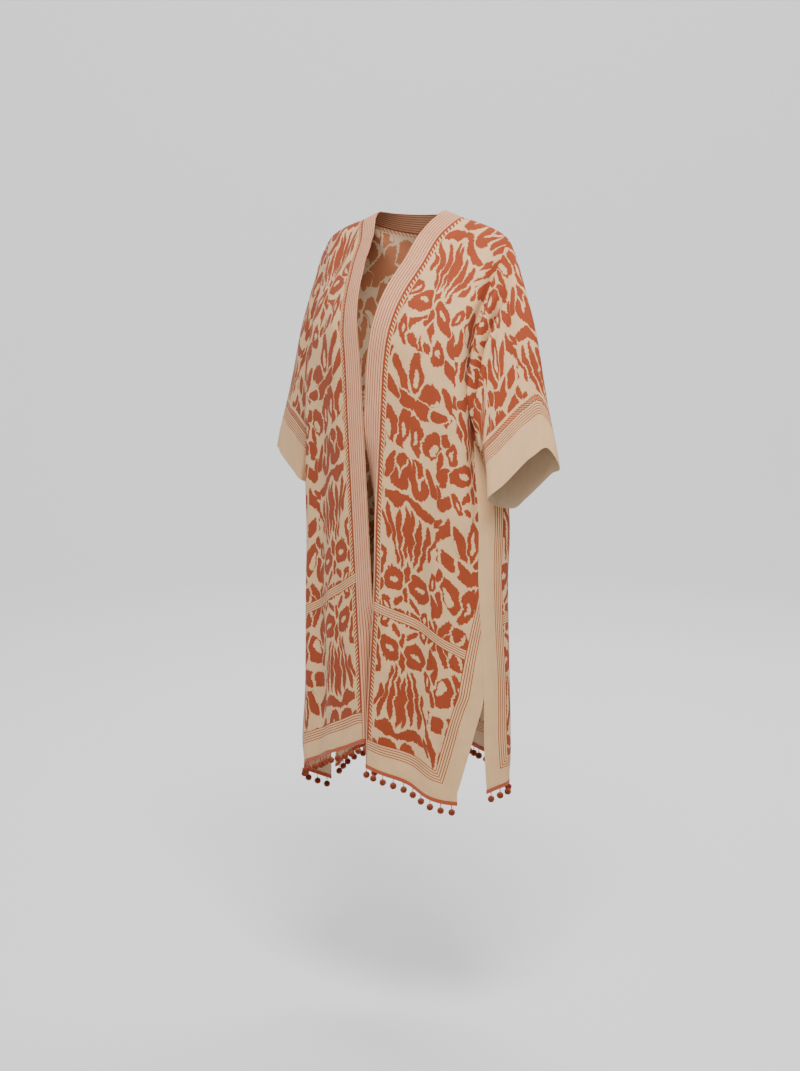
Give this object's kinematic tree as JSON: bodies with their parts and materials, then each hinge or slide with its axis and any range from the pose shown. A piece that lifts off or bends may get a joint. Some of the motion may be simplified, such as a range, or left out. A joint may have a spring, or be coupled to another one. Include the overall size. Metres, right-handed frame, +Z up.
{
  "type": "kimono coat",
  "caption": "Long open-front kimono coat with a striped front band, wide elbow sleeves, side slits and pompom-trimmed hems, draped as worn.",
  "frame": {"origin": "midway between the two high shoulder points of the neck opening, where the wearer's shoulders carry the coat", "axes": "+Z up, the front of the coat faces -Y, and the wearer's left is +X"},
  "size_m": [0.672, 0.268, 1.0969],
  "materials": {
    "printed_cloth": "matte woven, rust print on cream",
    "striped_band": "matte woven, thin rust stripes",
    "pompom_yarn": "soft cut yarn"
  },
  "bodies": {
    "root": {"front_left": "printed_cloth", "front_right": "printed_cloth", "back": "printed_cloth", "sleeve_left": "printed_cloth", "sleeve_right": "printed_cloth", "band_left": "striped_band", "band_right": "striped_band", "trim_front_left": "pompom_yarn", "trim_front_right": "pompom_yarn", "trim_back": "pompom_yarn"}
  },
  "joints": []
}
